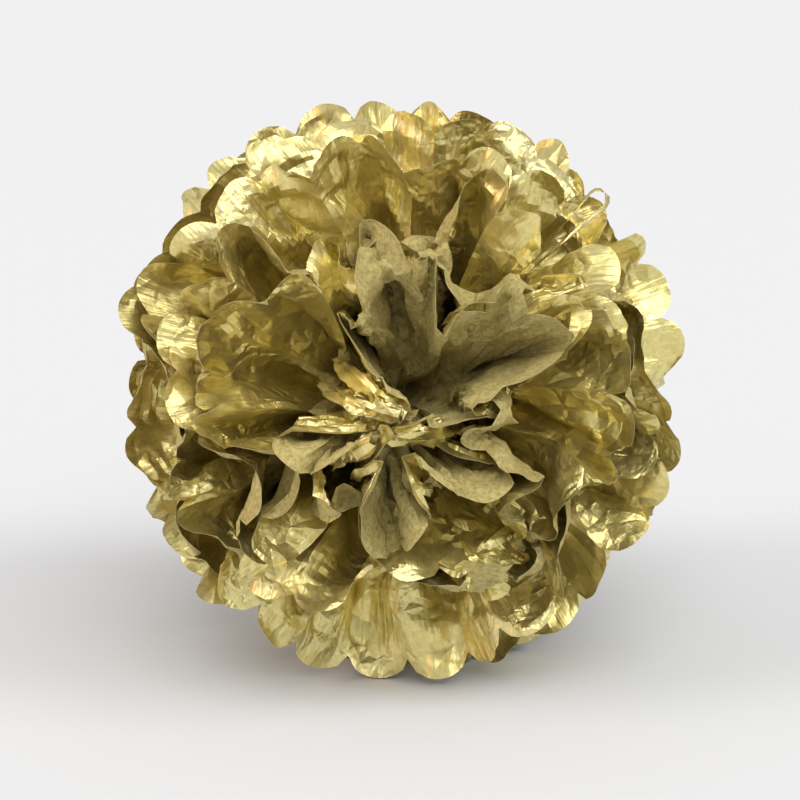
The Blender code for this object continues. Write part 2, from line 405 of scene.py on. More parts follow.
class Paper:
    """All wings as one array of points [row, column, xyz, wing], with the flat lengths that they keep."""

    def __init__(self, points, per_pleat, sheet_of_wing, curls):
        self.points = np.ascontiguousarray(points, dtype=np.float32)
        self.per_pleat = per_pleat
        self.sheet_of_wing = np.array(sheet_of_wing)
        self.x, self.y = flat_wing(per_pleat)
        self.free = (self.y > PINNED_DISTANCE).astype(np.float32)
        self.firmness = smooth_step(PINNED_DISTANCE, FREE_DISTANCE, self.y)
        self.creased = np.stack([self.on_creases(wing) for wing in range(len(sheet_of_wing))], axis=-1)
        self.turned = np.stack([self.on_turned_tips(curl) for curl in curls], axis=-1)
        self.links = self.all_links()
        self.pairs = None

    def on_creases(self, wing):
        """1 at the points of a wing that lie on one of its random creases, else 0."""
        rng = np.random.default_rng(CREASE_SEED + wing)
        reach = 0.6 * PLEAT_WIDTH / self.per_pleat
        found = np.zeros_like(self.x)
        for _ in range(CREASES_PER_WING):
            middle = rng.uniform((0, 0.035), (PLEATS * PLEAT_WIDTH, WING_LENGTH))
            angle = rng.uniform(0, math.pi)
            half = rng.uniform(0.005, 0.018)
            dx, dy = self.x - middle[0], self.y - middle[1]
            along = dx * math.cos(angle) + dy * math.sin(angle)
            off = np.abs(dy * math.cos(angle) - dx * math.sin(angle))
            found[(off < reach) & (np.abs(along) < half)] = 1
        return found.astype(np.float32)

    def on_turned_tips(self, curl):
        """1 at the points of a wing where a tip is turned over and the paper doesn't straighten, else 0."""
        at_column = np.interp(self.x[0] / PLEAT_WIDTH, np.arange(PLEATS + 1), np.abs(curl))
        return ((at_column > LIMP_CURL) & (self.y > TURNED_FROM)).astype(np.float32)

    def link_group(self, row_step, column_step, rows, columns, pull, push, inside_pleat=False):
        """One group of links that share no point, as slices of both ends and how firmly they hold."""
        row_count, column_count = self.x.shape
        first_row, row_stride = rows
        first_column, column_stride = columns
        last_row = row_count - row_step
        last_column = column_count - max(column_step, 0)
        a = slice(first_row, last_row, row_stride), slice(first_column, last_column, column_stride)
        b = (
            slice(first_row + row_step, row_count, row_stride),
            slice(first_column + column_step, last_column + column_step, column_stride),
        )
        if self.x[a].size == 0:
            return
        rest = np.hypot(self.x[b] - self.x[a], self.y[b] - self.y[a])
        firm = np.minimum(self.firmness[a], self.firmness[b])
        if inside_pleat:
            column = np.arange(column_count)[a[1]]
            firm = firm * (column % self.per_pleat <= self.per_pleat - column_step)
        total = np.maximum(self.free[a] + self.free[b], 1)
        pull = pull * (NECK_PULL + (1 - NECK_PULL) * firm)
        push = push * firm
        values = [rest, pull, push, self.free[a] / total, self.free[b] / total]
        rest, pull, push, share_a, share_b = (v[..., None].astype(np.float32) for v in values)
        creased = np.maximum(self.creased[a], self.creased[b])
        if abs(row_step) > 1 or column_step > 1:
            middle = (
                slice(a[0].start + row_step // 2, a[0].stop + row_step // 2, a[0].step),
                slice(a[1].start + column_step // 2, a[1].stop + column_step // 2, a[1].step),
            )
            push = push * (1 - CREASE_GIVE * np.maximum(creased, self.creased[middle]))
            if row_step > 1:
                push = push * (1 - TURNED_GIVE * np.maximum(self.turned[a], self.turned[b]))
        else:
            rest = rest * (1 + CREASE_SLACK * creased)
        self.groups.append((a, b, rest, pull, push, share_a, share_b))

    def all_links(self):
        self.groups = []
        per = self.per_pleat
        for first in (0, 1):
            self.link_group(0, 1, (0, 1), (first, 2), **ALONG_THREADS)
        for first in (0, 1):
            self.link_group(1, 0, (first, 2), (0, 1), **ALONG_THREADS)
        for first in (0, 1):
            self.link_group(1, 1, (first, 2), (0, 1), **ON_DIAGONALS)
            self.link_group(1, -1, (first, 2), (1, 1), **ON_DIAGONALS)
        for step, firmness in ((2, STIFF_ACROSS), (per, STIFF_ACROSS_PLEAT)):
            for first in range(2 * step):
                self.link_group(0, step, (0, 1), (first, 2 * step), inside_pleat=True, **firmness)
        for step, firmness in ((2, STIFF_ALONG), (per, STIFF_ALONG_PLEAT)):
            for first in range(2 * step):
                self.link_group(step, 0, (first, 2 * step), (0, 1), **firmness)
        return self.groups

    def keep_lengths(self):
        points = self.points
        for a, b, rest, pull, push, share_a, share_b in self.links:
            start, end = points[a], points[b]
            gap = end - start
            length = np.sqrt(gap[:, :, 0] ** 2 + gap[:, :, 1] ** 2 + gap[:, :, 2] ** 2) + 1e-9
            off = (length - rest) / length
            off *= np.where(off > 0, pull, push)
            start += gap * (off * share_a)[:, :, None]
            end -= gap * (off * share_b)[:, :, None]

    def normals(self):
        """Unit vectors square to the paper, towards the front pole, [row, column, xyz, wing]."""
        along = np.gradient(self.points, axis=0)
        across = np.gradient(self.points, axis=1)
        facing = np.cross(along, across, axis=2)
        facing /= np.sqrt((facing**2).sum(2, keepdims=True)) + 1e-12
        facing[..., 1::2] *= -1
        return facing

    def listed(self, values):
        """The wings' values as one list of vectors, wing by wing."""
        return np.ascontiguousarray(values.transpose(3, 0, 1, 2)).reshape(-1, 3)

    def find_pairs(self, reach):
        """Pairs of points that may come too near each other."""
        rows, columns, _, wings = self.points.shape
        index = np.arange(wings * rows * columns).reshape(wings, rows, columns)
        active = index[:, self.y[:, 0] > APART_FROM].ravel()
        first, second = near_pairs(self.listed(self.points)[active], reach)
        first, second = active[first], active[second]
        wing_a, wing_b = first // (rows * columns), second // (rows * columns)
        near = wing_a == wing_b
        near &= abs(first // columns % rows - second // columns % rows) < 3
        near &= abs(first % columns - second % columns) < 3
        first, second, wing_a, wing_b = (v[~near] for v in (first, second, wing_a, wing_b))
        order = np.sign(self.sheet_of_wing[wing_b] - self.sheet_of_wing[wing_a]).astype(np.float32)
        room = np.clip(ROOM_PER_LENGTH * self.y.ravel(), LEAST_ROOM, MOST_ROOM).astype(np.float32)
        room = np.minimum(room[first % (rows * columns)], room[second % (rows * columns)])
        self.pairs = first, second, order, room
        self.near_ribbon = self.find_near_ribbon()

    def find_near_ribbon(self):
        """The points beside the ribbon, the ribbon's place level with each, and each point's wing."""
        flat = self.listed(self.points) - HUB
        slit = flat @ ALONG_SLIT
        beside = np.abs(flat @ ALONG_WING) < RIBBON_REACH
        beside &= (slit > RIBBON_SLITS[0]) & (slit < RIBBON_SLITS[-1])
        index = np.nonzero(beside)[0]
        rows, columns, _, _ = self.points.shape
        return index, np.searchsorted(RIBBON_SLITS, slit[index]), index // (rows * columns)

    def off_the_ribbon(self, flat):
        """How the paper near the ribbon moves: sheets in front go to their own side, the others go behind."""
        index, level, wing = self.near_ribbon
        off = flat[index] - RIBBON_MIDDLE[level]
        up = off @ POLE
        own_side = np.where(wing % 2 == 0, 1, -1)
        aside = off @ ALONG_WING * own_side
        room = RIBBON_HALF_SPREAD[level] + RIBBON_ROOM
        behind = self.sheet_of_wing[wing] >= FIRST_SHEET_BEHIND_RIBBON
        open_above = RIBBON_SLITS[level] > RIBBON_SEEN_FROM
        pushed = ~behind & (up > -RIBBON_ROOM) & (open_above | (up < RIBBON_ROOM))
        sideways = np.clip(room - aside, 0, RIBBON_PUSH) * pushed * own_side
        backwards = np.clip(up + RIBBON_ROOM, 0, RIBBON_PUSH) * behind * (np.abs(aside) < room)
        return index, np.outer(ALONG_WING, sideways) - np.outer(POLE, backwards)

    def keep_apart(self):
        """Pushes layers off each other, each to its own side: sheets keep their order from pole to pole."""
        first, second, order, room = self.pairs
        rows, columns, _, wings = self.points.shape
        flat = self.listed(self.points)
        facing = self.listed(self.normals())
        gap = flat[first] - flat[second]
        distance = np.sqrt((gap * gap).sum(-1)) + 1e-9
        way = facing[first] + facing[second]
        size = np.sqrt((way * way).sum(-1)) + 1e-9
        way /= size[:, None]
        layered = (order != 0) & (size > LEVEL_LAYERS)
        height = np.where(layered, order * (gap * way).sum(-1), distance)
        direction = np.where(layered[:, None], way * order[:, None], gap / distance[:, None])
        lack = np.clip(room - height, 0, MOST_LACK) * (distance < NOT_BEYOND)
        push = direction * (0.5 * lack)[:, None]
        touched = lack > 0
        count = np.bincount(first, touched, len(flat)) + np.bincount(second, touched, len(flat))
        count = np.maximum(count, 1) ** CROWDING
        moved = np.empty((3, len(flat)), np.float32)
        for axis in range(3):
            total = np.bincount(first, push[:, axis], len(flat))
            total -= np.bincount(second, push[:, axis], len(flat))
            moved[axis] = total / count
        index, shift = self.off_the_ribbon(flat)
        moved[:, index] += shift
        moved = moved.reshape(3, wings, rows, columns).transpose(2, 3, 0, 1)
        self.points += moved * self.free[:, :, None, None]

    def keep_above_table(self):
        np.maximum(self.points[:, :, 2], FLOOR_GAP, out=self.points[:, :, 2])

    def relax(self, rounds, goal, hold, reach, search_every):
        heart = HEART_HOLD * (self.sheet_of_wing == 0)
        for number in range(rounds):
            share = 1 - number / rounds
            if number % search_every == 0:
                self.find_pairs(reach)
            held = np.maximum(hold * share, heart).astype(np.float32)
            self.points += (goal - self.points) * (held * self.free[:, :, None, None])
            self.keep_lengths()
            if number % 2 == 0:
                self.keep_apart()
            self.keep_above_table()

    def crumple(self, reach):
        """Raises and sinks the paper in flat-sided tents, then lets the layers settle off each other."""
        heights = []
        for wing in range(len(self.sheet_of_wing)):
            rng = np.random.default_rng(TENT_SEED + wing)
            height = sum(tent_heights(rng, self.x, self.y, *tents) for tents in (BIG_TENTS, SMALL_TENTS))
            heights.append(height * smooth_step(TENTS_START, TENTS_FULL, self.y))
        lift = np.stack(heights, axis=-1)[:, :, None].astype(np.float32)
        self.points += self.normals() * lift
        self.find_pairs(reach)
        for _ in range(SETTLING_ROUNDS):
            self.keep_apart()
            self.keep_above_table()


def tent_heights(rng, x, y, cell, slope):
    """Heights over the flat paper of random cells about that wide, each a flat-sided tent up or down."""
    across = np.arange(0, PLEATS * PLEAT_WIDTH + 2 * cell, cell) - cell / 2
    along = np.arange(0, WING_LENGTH + 2 * cell, cell) - cell / 2
    seeds = np.stack(np.meshgrid(across, along), -1).reshape(-1, 2)
    seeds = seeds + rng.uniform(-0.45, 0.45, seeds.shape) * cell
    lift = rng.uniform(-1, 1, len(seeds))
    places = np.stack([x, y], -1).reshape(-1, 1, 2)
    nearest = ((places - seeds) ** 2).sum(-1).argmin(1)
    own = seeds[nearest][:, None]
    towards = seeds - own
    size = np.linalg.norm(towards, axis=-1)
    to_border = (((own + seeds) / 2 - places) * towards).sum(-1) / np.maximum(size, 1e-9)
    to_border[size == 0] = cell
    return (slope * lift[nearest] * to_border.min(1)).reshape(x.shape)


def near_pairs(points, reach):
    """Index pairs of points nearer than reach."""
    cells = np.floor(points / reach).astype(np.int64)
    cells -= cells.min(0) - 1
    span = cells.max(0) + 2
    key = (cells[:, 0] * span[1] + cells[:, 1]) * span[2] + cells[:, 2]
    order = np.argsort(key, kind="stable")
    key = key[order]
    placed = points[order]
    count = len(points)
    firsts, seconds = [], []
    shifts = [(i, j, k) for i in (-1, 0, 1) for j in (-1, 0, 1) for k in (-1, 0, 1)]
    for i, j, k in shifts:
        shift = (i * span[1] + j) * span[2] + k
        if shift < 0:
            continue
        low = np.searchsorted(key, key + shift, "left")
        high = np.searchsorted(key, key + shift, "right")
        if shift == 0:
            low = np.arange(count) + 1
        counts = np.maximum(high - low, 0)
        total = counts.sum()
        a = np.repeat(np.arange(count), counts)
        b = np.arange(total) - np.repeat(np.cumsum(counts) - counts, counts) + np.repeat(low, counts)
        gap = placed[a] - placed[b]
        near = (gap * gap).sum(-1) < reach * reach
        firsts.append(order[a[near]])
        seconds.append(order[b[near]])
    return np.concatenate(firsts), np.concatenate(seconds)


def finer(points):
    """The same wings on a grid twice as fine."""
    def doubled(values, axis):
        moved = np.moveaxis(values, axis, 0)
        middle = (moved[1:] + moved[:-1]) / 2
        out = np.empty((len(moved) * 2 - 1,) + moved.shape[1:])
        out[::2] = moved
        out[1::2] = middle
        return np.moveaxis(out, 0, axis)

    return doubled(doubled(points, 0), 1)


def relaxed_wings():
    """The relaxed paper of all wings, sheet by sheet from the front pole, side +1 first."""
    x, y = flat_wing(COARSE_COLUMNS)
    common_rng = np.random.default_rng(COMMON_SEED)
    terms = [(c, common_rng.normal(), common_rng.uniform(0, 2 * math.pi)) for c in (1, 2, 3, 4, 5)]

    def common(phase):
        return sum(a * np.sin(c * phase + p) for c, a, p in terms) / math.sqrt(len(terms))

    starts, sheets, curls = [], [], []
    for sheet, polar in enumerate(sheet_angles()):
        for side in (1, -1):
            rng = np.random.default_rng(WING_SEED + 10 * sheet + (side > 0))
            depth = depth_of_sheet(sheet)
            folds = heart_folds(side) if sheet == 0 else random_folds(rng, common, side, polar, depth)
            starts.append(start_wing(rng, folds, sheet, side, polar, x, y))
            sheets.append(sheet)
            curls.append(folds[2])
    goal = np.stack(starts, axis=-1).astype(np.float32)
    paper = Paper(goal.copy(), COARSE_COLUMNS, sheets, curls)
    paper.relax(COARSE_ROUNDS, goal, COARSE_HOLD, COARSE_REACH, COARSE_SEARCH_EVERY)
    fine = Paper(finer(paper.points), COARSE_COLUMNS * 2, sheets, curls)
    fine.relax(FINE_ROUNDS, finer(goal).astype(np.float32), 0, FINE_REACH, FINE_SEARCH_EVERY)
    fine.crumple(FINE_REACH)
    return fine


# Meshes


def linked(name, data):
    obj = bpy.data.objects.new(name, data)
    bpy.context.scene.collection.objects.link(obj)
    return obj


def skin_faces(rows, columns, start, flip):
    index = start + np.arange(rows * columns).reshape(rows, columns)
    a, b, c, d = index[:-1, :-1], index[:-1, 1:], index[1:, 1:], index[1:, :-1]
    quads = np.stack([a, b, c, d], -1).reshape(-1, 4)
    return quads[:, (0, 3, 2, 1)] if flip else quads


def add_bake_map(data, quads, count, faces_per_skin, flat):
    """Lays the sheet's front, its back and its cut edge out flat, each in its own part of the map."""
    across = flat[:, 0] / (PLEATS * PLEAT_WIDTH) * MAP_SPAN + MAP_MARGIN
    along = (flat[:, 1] / SHEET_LENGTH + 0.5) * MAP_SKIN_SPAN
    corner = quads.ravel()
    skin = np.repeat(np.arange(len(quads)) // faces_per_skin, 4)
    u = across[corner]
    v = along[corner] + np.where(skin == 0, MAP_MARGIN, MAP_BACK_FROM)
    rim_count = len(quads) - 2 * faces_per_skin
    share = (np.repeat(np.arange(rim_count), 4) + np.tile((0, 1, 1, 0), rim_count)) / rim_count
    u[skin == 2] = share * MAP_SPAN + MAP_MARGIN
    v[skin == 2] = MAP_EDGE_FROM + MAP_EDGE_SPAN * (corner[skin == 2] >= count)
    layer = data.uv_layers.new(name="OFBake")
    layer.data.foreach_set("uv", np.stack([u, v], -1).astype(np.float32).ravel())


def sheet_rim(rows, columns):
    """The faces of the cut edge, which join the two skins all the way round."""
    count = rows * columns
    index = np.arange(count).reshape(rows, columns)
    loop = np.concatenate([index[0, :-1], index[:-1, -1], index[-1, :0:-1], index[:0:-1, 0]])
    after = np.roll(loop, -1)
    return np.stack([loop, after, after + count, loop + count], -1)


def mesh_of_quads(name, verts, quads):
    data = bpy.data.meshes.new(name)
    data.vertices.add(len(verts))
    data.vertices.foreach_set("co", verts.astype(np.float32).ravel())
    data.loops.add(quads.size)
    data.loops.foreach_set("vertex_index", quads.astype(np.int32).ravel())
    data.polygons.add(len(quads))
    data.polygons.foreach_set("loop_start", (np.arange(len(quads)) * 4).astype(np.int32))
    data.update(calc_edges=True)
    return data


def set_flat_place(data, places):
    """Keeps each vertex's place on the flat piece, for the materials."""
    attribute = data.attributes.new("flat_place", "FLOAT_VECTOR", "POINT")
    attribute.data.foreach_set("vector", places.astype(np.float32).ravel())


def add_sheet(name, paper, sheet, face_front, materials):
    """One sheet as a thin closed solid: metallic face, matt back and cut edge."""
    wings = [paper.points[..., 2 * sheet], paper.points[..., 2 * sheet + 1]]
    facings = paper.normals()
    normals = [facings[..., 2 * sheet], facings[..., 2 * sheet + 1]]
    rows, columns = paper.x.shape
    both = np.concatenate([wings[1][::-1], wings[0]])
    facing = np.concatenate([normals[1][::-1], normals[0]])
    flat_y = np.concatenate([-NECK_HALF_LENGTH - paper.y[::-1], NECK_HALF_LENGTH + paper.y])
    flat_x = np.concatenate([paper.x, paper.x])
    total_rows = 2 * rows
    front = both + facing * PAPER_HALF_THICKNESS
    back = both - facing * PAPER_HALF_THICKNESS
    count = total_rows * columns
    verts = np.concatenate([front.reshape(-1, 3), back.reshape(-1, 3)])
    front_quads = skin_faces(total_rows, columns, 0, True)
    back_quads = skin_faces(total_rows, columns, count, False)
    rim = sheet_rim(total_rows, columns)
    quads = np.concatenate([front_quads, back_quads, rim])
    data = mesh_of_quads(name, verts, quads)
    slots = np.zeros(len(quads), np.int32)
    metallic, matt = (0, 1) if face_front else (1, 0)
    slots[: len(front_quads)] = metallic
    slots[len(front_quads) : -len(rim)] = matt
    slots[-len(rim) :] = 2
    for finish in materials:
        data.materials.append(finish)
    data.polygons.foreach_set("material_index", slots)
    flat = np.stack([flat_x, flat_y], -1).reshape(-1, 2)
    place = np.insert(flat + (0.0, sheet * SHEET_LENGTH * 2), 2, 0.0, axis=1)
    set_flat_place(data, np.concatenate([place, place]))
    add_bake_map(data, quads, count, len(front_quads), np.concatenate([flat, flat]))
    data.polygons.foreach_set("use_smooth", np.ones(len(quads), bool))
    data.set_sharp_from_angle(angle=SHARP_ANGLE)
    data.validate()
    return linked(name, data)


# The ribbon and the wire


def band_mesh(name, line, width, thickness, turns, closed=False):
    """A thin flat band along the line, its width turning about the line by that many turns in all."""
    points = np.array(line)
    count = len(points)
    if closed:
        tangents = unit(np.roll(points, -1, 0) - np.roll(points, 1, 0))
    else:
        tangents = unit(np.gradient(points, axis=0))
    side = unit(np.cross(tangents, ALONG_WING))
    other = np.cross(tangents, side)
    share = np.arange(count) / (count if closed else count - 1)
    turn = (2 * math.pi * turns * share + 0.5)[:, None]
    across = side * np.cos(turn) + other * np.sin(turn)
    square = np.cross(across, tangents)
    section = ((-1, 0), (-0.6, 0.8), (0, 1), (0.6, 0.8), (1, 0), (0.6, -0.8), (0, -1), (-0.6, -0.8))
    rings = [points + across * (a * width / 2) + square * (b * thickness / 2) for a, b in section]
    verts = np.stack(rings, 1)
    size = len(section)
    index = np.arange(count * size).reshape(count, size)
    after = np.roll(index, -1, 0) if closed else index[1:]
    before = index if closed else index[:-1]
    quads = np.stack([before, np.roll(before, -1, 1), np.roll(after, -1, 1), after], -1).reshape(-1, 4)
    faces = [tuple(quad) for quad in quads.tolist()]
    if not closed:
        faces.append(tuple(index[0, ::-1].tolist()))
        faces.append(tuple(index[-1].tolist()))
    data = bpy.data.meshes.new(name)
    data.from_pydata(verts.reshape(-1, 3).tolist(), [], faces)
    length = np.concatenate([[0], np.cumsum(np.linalg.norm(np.diff(points, axis=0), axis=1))])
    place = np.zeros((count, size, 3))
    place[:, :, 0] = np.array([a for a, _ in section]) * width / 2
    place[:, :, 1] = length[:, None]
    set_flat_place(data, place)
    data.polygons.foreach_set("use_smooth", np.ones(len(faces), bool))
    data.validate()
    return linked(name, data)


# Materials


def new_group(name, inputs, outputs):
    """A shader node group with those (kind, name, default) inputs and named number outputs."""
    group = bpy.data.node_groups.new(name, "ShaderNodeTree")
    for kind, label, default in inputs:
        socket = group.interface.new_socket(label, in_out="INPUT", socket_type=f"NodeSocket{kind}")
        if default is not None:
            socket.default_value = default
    for label in outputs:
        group.interface.new_socket(label, in_out="OUTPUT", socket_type="NodeSocketFloat")
    return group, group.nodes.new("NodeGroupInput").outputs, group.nodes.new("NodeGroupOutput").inputs


def fill(tree, made, values):
    """Sets a node's inputs, by number or name, each to a value or to another node's socket."""
    for place, value in dict(values).items():
        if isinstance(value, bpy.types.NodeSocket):
            tree.links.new(value, made.inputs[place])
        else:
            made.inputs[place].default_value = value
    return made


def node(tree, kind, values=(), **settings):
    made = tree.nodes.new(f"ShaderNode{kind}")
    for setting, value in settings.items():
        setattr(made, setting, value)
    return fill(tree, made, values)


def use_group(tree, group, values):
    made = tree.nodes.new("ShaderNodeGroup")
    made.node_tree = group
    return fill(tree, made, values).outputs


def calculated(tree, operation, a, b):
    return node(tree, "Math", {0: a, 1: b}, operation=operation).outputs[0]


def stretched(tree, place, factors):
    return node(tree, "VectorMath", {0: place, 1: factors}, operation="MULTIPLY").outputs[0]


def ramped(tree, value, low, high, to_low, to_high):
    return node(tree, "MapRange", {0: value, 1: low, 2: high, 3: to_low, 4: to_high}, clamp=True).outputs[0]


def mixed(tree, share, first, second):
    made = tree.nodes.new("ShaderNodeMix")
    made.data_type = "RGBA"
    colours = {0: share}
    for place, colour in ((6, first), (7, second)):
        colours[place] = colour if isinstance(colour, bpy.types.NodeSocket) else (*colour, 1.0)
    return fill(tree, made, colours).outputs[2]


def bumped(tree, height, strength, under=None):
    """A Bump node's normal, for a height in metres."""
    values = {"Height": height, "Distance": 1.0, "Strength": strength}
    if under is not None:
        values["Normal"] = under
    return node(tree, "Bump", values).outputs[0]


def flat_noise(tree, place, scale, **values):
    """A noise texture on the flat paper, whose places have no third coordinate."""
    return node(tree, "TexNoise", {"Vector": place, "Scale": scale, **values}, noise_dimensions="2D")


def tents(tree, place, scale, slope):
    """The height of flat-sided tents over random cells, each up or down by its own amount."""
    cells = {"Vector": place, "Scale": scale}
    border = node(tree, "TexVoronoi", cells, voronoi_dimensions="2D", feature="DISTANCE_TO_EDGE")
    cell = node(tree, "TexVoronoi", cells, voronoi_dimensions="2D", feature="F1")
    level = node(tree, "SeparateXYZ", {0: cell.outputs["Color"]}).outputs[0]
    lift = ramped(tree, level, 0.1, 0.9, -slope / scale, slope / scale)
    return calculated(tree, "MULTIPLY", border.outputs["Distance"], lift)


def crinkle_group():
    """Creases of handled tissue: sharp facets of three sizes, and soft ripples that run along the pleats."""
    group, given, result = new_group(
        "tissue_crinkle",
        [("Vector", "Place", None), ("Float", "Facets", 1.0), ("Float", "Ripples", 1.0)],
        ["Height", "Crushed"],
    )
    place = given["Place"]
    bent = flat_noise(group, place, 70.0, Detail=1.0)
    shift = node(group, "VectorMath", {0: bent.outputs["Color"], 1: (0.5, 0.5, 0.5)}, operation="SUBTRACT")
    shift = stretched(group, shift.outputs[0], (0.006, 0.006, 0.0))
    moved = node(group, "VectorMath", {0: place, 1: shift}, operation="ADD").outputs[0]
    patches = flat_noise(group, place, 30.0, Detail=2.0).outputs[0]
    crushed = ramped(group, patches, 0.46, 0.66, 0.0, 1.0)
    broad = tents(group, stretched(group, moved, (1.0, 0.6, 1.0)), 74.0, 0.36)
    handled = ramped(group, patches, 0.36, 0.62, 0.15, 1.0)
    middle = calculated(group, "MULTIPLY", tents(group, moved, 180.0, 0.30), handled)
    fine = calculated(group, "MULTIPLY", tents(group, moved, 455.0, 0.20), crushed)
    facets = calculated(group, "ADD", calculated(group, "ADD", broad, middle), fine)
    facets = calculated(group, "MULTIPLY", facets, given["Facets"])
    lines = stretched(group, place, (420.0, 28.0, 1.0))
    ripples = flat_noise(group, lines, 1.0, Detail=3.0).outputs[0]
    ripples = calculated(group, "MULTIPLY", ripples, calculated(group, "MULTIPLY", given["Ripples"], 0.0006))
    group.links.new(calculated(group, "ADD", facets, ripples), result["Height"])
    group.links.new(crushed, result["Crushed"])
    return group


def fibre_group():
    """The cloudy, fibrous look of thin paper: clouds, and short hairs that lie both ways."""
    group, given, result = new_group(
        "tissue_fibres", [("Vector", "Place", None), ("Float", "Size", 1.0)], ["Clouds", "Hairs"]
    )
    sized = node(group, "VectorMath", {0: given["Place"], "Scale": given["Size"]}, operation="SCALE")
    sized = sized.outputs[0]
    clouds = flat_noise(group, sized, 420.0, Detail=4.0, Roughness=0.65)
    hairs = []
    for factors in ((2600.0, 380.0, 1.0), (420.0, 2300.0, 1.0)):
        lying = stretched(group, sized, factors)
        hairs.append(flat_noise(group, lying, 1.0, Detail=2.0).outputs[0])
    both = calculated(group, "MULTIPLY", calculated(group, "ADD", *hairs), 0.5)
    group.links.new(clouds.outputs[0], result["Clouds"])
    group.links.new(both, result["Hairs"])
    return group


def new_material(name, **constants):
    """A Principled material with those constant socket values, its tree and its shader's inputs."""
    made = bpy.data.materials.new(name)
    made.use_nodes = True
    inputs = made.node_tree.nodes["Principled BSDF"].inputs
    for socket, value in constants.items():
        inputs[socket.replace("_", " ")].default_value = value
    return made, made.node_tree, inputs


def flat_place(tree):
    return node(tree, "Attribute", attribute_name="flat_place").outputs["Vector"]


def gold_face(crinkle, fibres):
    """Printed metallic gold: semi-gloss, faceted by creases, duller where the paper is most crushed."""
    made, tree, inputs = new_material(
        "gold_tissue_face", Metallic=0.88, Coat_Weight=0.35, Coat_Roughness=0.30
    )
    place = flat_place(tree)
    creases = use_group(tree, crinkle, {"Place": place, "Facets": 1.0, "Ripples": 1.0})
    paper = use_group(tree, fibres, {"Place": place, "Size": 1.0})
    clouds = ramped(tree, paper["Clouds"], 0.3, 0.7, 0.0, 1.0)
    colour = mixed(tree, clouds, (0.73, 0.62, 0.22), (0.87, 0.76, 0.33))
    colour = mixed(tree, calculated(tree, "MULTIPLY", creases["Crushed"], 0.25), colour, (0.84, 0.77, 0.42))
    tree.links.new(colour, inputs["Base Color"])
    tree.links.new(ramped(tree, paper["Hairs"], 0.35, 0.65, 0.30, 0.46), inputs["Roughness"])
    grain = calculated(tree, "MULTIPLY", paper["Hairs"], 0.00003)
    tree.links.new(bumped(tree, grain, 0.8, bumped(tree, creases["Height"], 1.0)), inputs["Normal"])
    return made


def matt_back(crinkle, fibres):
    """The unprinted side: khaki tissue, cloudy and fibrous, softly creased."""
    made, tree, inputs = new_material("tissue_back", Roughness=0.8, Specular_IOR_Level=0.3)
    place = flat_place(tree)
    creases = use_group(tree, crinkle, {"Place": place, "Facets": 0.4, "Ripples": 0.8})
    paper = use_group(tree, fibres, {"Place": place, "Size": 1.2})
    clouds = ramped(tree, paper["Clouds"], 0.36, 0.64, 0.0, 1.0)
    hairs = ramped(tree, paper["Hairs"], 0.38, 0.62, 0.0, 0.6)
    colour = mixed(tree, clouds, (0.255, 0.202, 0.056), (0.475, 0.387, 0.138))
    colour = mixed(tree, hairs, colour, (0.56, 0.47, 0.20))
    tree.links.new(colour, inputs["Base Color"])
    grain = calculated(tree, "MULTIPLY", paper["Hairs"], 0.00005)
    tree.links.new(bumped(tree, grain, 0.8, bumped(tree, creases["Height"], 0.8)), inputs["Normal"])
    return made


def cut_edge():
    made, tree, inputs = new_material("tissue_cut_edge", Roughness=0.85)
    spots = node(tree, "TexNoise", {"Vector": flat_place(tree), "Scale": 900.0}).outputs[0]
    tree.links.new(mixed(tree, spots, (0.36, 0.30, 0.12), (0.52, 0.45, 0.22)), inputs["Base Color"])
    return made


def ribbon_foil():
    """Narrow metallic gold ribbon, ribbed lengthwise and lightly scuffed."""
    made, tree, inputs = new_material("gold_ribbon_foil", Metallic=1.0, Coat_Weight=0.4, Coat_Roughness=0.12)
    place = flat_place(tree)
    ribs = node(tree, "TexNoise", {"Vector": stretched(tree, place, (5200.0, 30.0, 1.0)), "Scale": 1.0})
    scuffs = node(tree, "TexNoise", {"Vector": stretched(tree, place, (900.0, 260.0, 1.0)), "Scale": 1.0})
    colour = mixed(tree, ribs.outputs[0], (0.72, 0.56, 0.20), (0.92, 0.80, 0.42))
    tree.links.new(colour, inputs["Base Color"])
    tree.links.new(ramped(tree, scuffs.outputs[0], 0.35, 0.65, 0.14, 0.34), inputs["Roughness"])
    height = calculated(tree, "MULTIPLY", ribs.outputs[0], 0.00006)
    tree.links.new(bumped(tree, height, 0.7), inputs["Normal"])
    return made


def drawn_wire():
    """Bright drawn steel wire with faint marks from the pliers."""
    made, tree, inputs = new_material("bright_wire", Metallic=1.0)
    place = node(tree, "TexCoord").outputs["Object"]
    marks = node(tree, "TexNoise", {"Vector": place, "Scale": 1400.0, "Detail": 2.0}).outputs[0]
    tree.links.new(mixed(tree, marks, (0.50, 0.49, 0.47), (0.72, 0.71, 0.69)), inputs["Base Color"])
    tree.links.new(ramped(tree, marks, 0.35, 0.65, 0.18, 0.36), inputs["Roughness"])
    height = calculated(tree, "MULTIPLY", marks, 0.00003)
    tree.links.new(bumped(tree, height, 0.5), inputs["Normal"])
    return made


# The pieces


def sheet_name(sheet):
    """The CAD node of a sheet, counted from the front pole: fronts from 1 to 6, then backs from 6 to 1."""
    if sheet < SHEETS_PER_SIDE:
        return f"front_sheet_{sheet + 1}"
    return f"back_sheet_{2 * SHEETS_PER_SIDE - sheet}"


def add_sheets():
    crinkle = crinkle_group()
    fibres = fibre_group()
    finishes = (gold_face(crinkle, fibres), matt_back(crinkle, fibres), cut_edge())
    paper = relaxed_wings()
    for sheet in range(2 * SHEETS_PER_SIDE):
        face_front = 0 < sheet <= LAST_SHEET_FACING_FRONT
        piece = add_sheet(f"tissue_{sheet_name(sheet)}", paper, sheet, face_front, finishes)
        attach(piece, "root")
        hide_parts(sheet_name(sheet))


